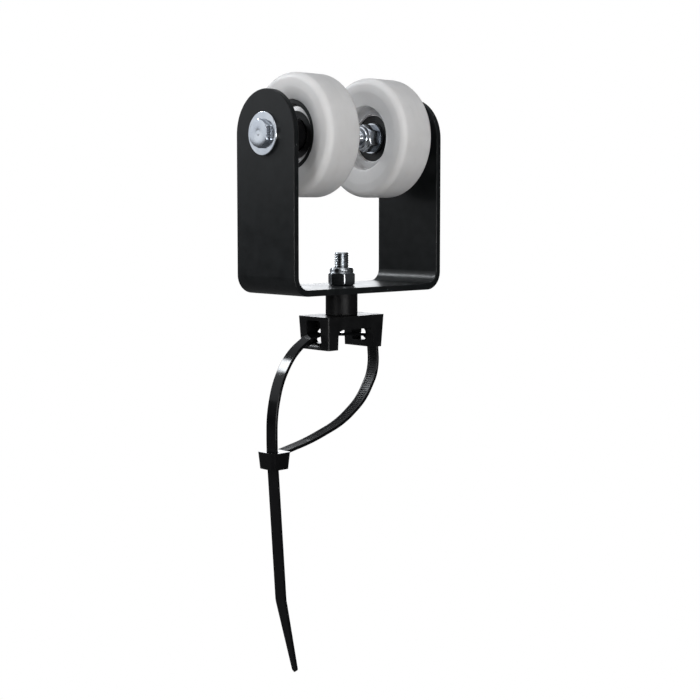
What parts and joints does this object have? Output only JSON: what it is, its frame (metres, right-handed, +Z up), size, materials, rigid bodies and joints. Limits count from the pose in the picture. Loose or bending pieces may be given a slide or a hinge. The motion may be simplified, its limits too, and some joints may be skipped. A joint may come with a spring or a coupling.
{
  "type": "beam track trolley",
  "caption": "Trolley with plastic wheels that runs on the bottom flanges of an I-section rail and carries a swivelling cable-tie hanger.",
  "frame": {"origin": "midway between the two wheels, on the running surface of the rail's flanges", "axes": "+X along the rail, +Y across it, +Z up"},
  "size_m": [0.0634, 0.1134, 0.312],
  "materials": {
    "black_powder_coat": "satin powder coat, fine texture",
    "bright_zinc": "bright zinc plate with a blue tint",
    "dull_zinc": "zinc plate, a little dull",
    "black_oxide_steel": "black, low sheen",
    "white_nylon": "machined white nylon, satin",
    "black_nylon": "moulded, satin",
    "ground_bearing_steel": "ground",
    "black_seal_rubber": "smooth rubber",
    "polished_balls": "polished",
    "pressed_cage_steel": "pressed, plain",
    "locking_nylon": "off-white polymer",
    "black_moulded_nylon": "moulded nylon, satin",
    "glossy_tie_nylon": "moulded nylon, glossy"
  },
  "bodies": {
    "bracket_frame": {"bracket": "black_powder_coat", "axle_bolt_left": "bright_zinc", "outer_washer_left": "bright_zinc", "hub_sleeve_left": "black_oxide_steel", "bearing_inner_race_left": "ground_bearing_steel", "inner_washer_left": "bright_zinc", "axle_lock_nut_left": "dull_zinc", "axle_nut_ring_left": "locking_nylon", "axle_bolt_right": "bright_zinc", "outer_washer_right": "bright_zinc", "hub_sleeve_right": "black_oxide_steel", "bearing_inner_race_right": "ground_bearing_steel", "inner_washer_right": "bright_zinc", "axle_lock_nut_right": "dull_zinc", "axle_nut_ring_right": "locking_nylon"},
    "wheel_left": {"wheel_left": "white_nylon", "bearing_retainer_left": "black_nylon", "bearing_outer_race_left": "ground_bearing_steel", "bearing_seals_left": "black_seal_rubber"},
    "balls_left": {"bearing_balls_left": "polished_balls", "bearing_cage_left": "pressed_cage_steel"},
    "wheel_right": {"wheel_right": "white_nylon", "bearing_retainer_right": "black_nylon", "bearing_outer_race_right": "ground_bearing_steel", "bearing_seals_right": "black_seal_rubber"},
    "balls_right": {"bearing_balls_right": "polished_balls", "bearing_cage_right": "pressed_cage_steel"},
    "hanger": {"hanger_bolt": "dull_zinc", "hanger_lock_nut": "dull_zinc", "hanger_nut_ring": "locking_nylon", "hanger_sleeve": "black_oxide_steel", "tie_saddle": "black_moulded_nylon"},
    "tie": {"tie_strap": "glossy_tie_nylon", "tie_head": "glossy_tie_nylon"}
  },
  "joints": [
    {"name": "wheel_spin_left", "type": "hinge", "parent": "bracket_frame", "child": "wheel_left", "pos_m": [0, 0.0275, 0.03175], "axis": [0, 1, 0], "continuous": true},
    {"name": "ball_orbit_left", "type": "hinge", "parent": "bracket_frame", "child": "balls_left", "pos_m": [0, 0.0275, 0.03175], "axis": [0, 1, 0], "continuous": true},
    {"name": "wheel_spin_right", "type": "hinge", "parent": "bracket_frame", "child": "wheel_right", "pos_m": [0, -0.0275, 0.03175], "axis": [0, 1, 0], "continuous": true},
    {"name": "ball_orbit_right", "type": "hinge", "parent": "bracket_frame", "child": "balls_right", "pos_m": [0, -0.0275, 0.03175], "axis": [0, 1, 0], "continuous": true},
    {"name": "hanger_swivel", "type": "hinge", "parent": "bracket_frame", "child": "hanger", "pos_m": [0, 0, -0.04955], "axis": [0, 0, 1], "continuous": true},
    {"name": "tie_swing", "type": "hinge", "parent": "hanger", "child": "tie", "pos_m": [0, 0, -0.07255], "axis": [0, 1, 0], "range_deg": [-12, 12]}
  ],
  "couplings": [
    {"joint": "ball_orbit_left", "follows": "wheel_spin_left", "ratio": 0.619},
    {"joint": "ball_orbit_right", "follows": "wheel_spin_right", "ratio": 0.619}
  ]
}
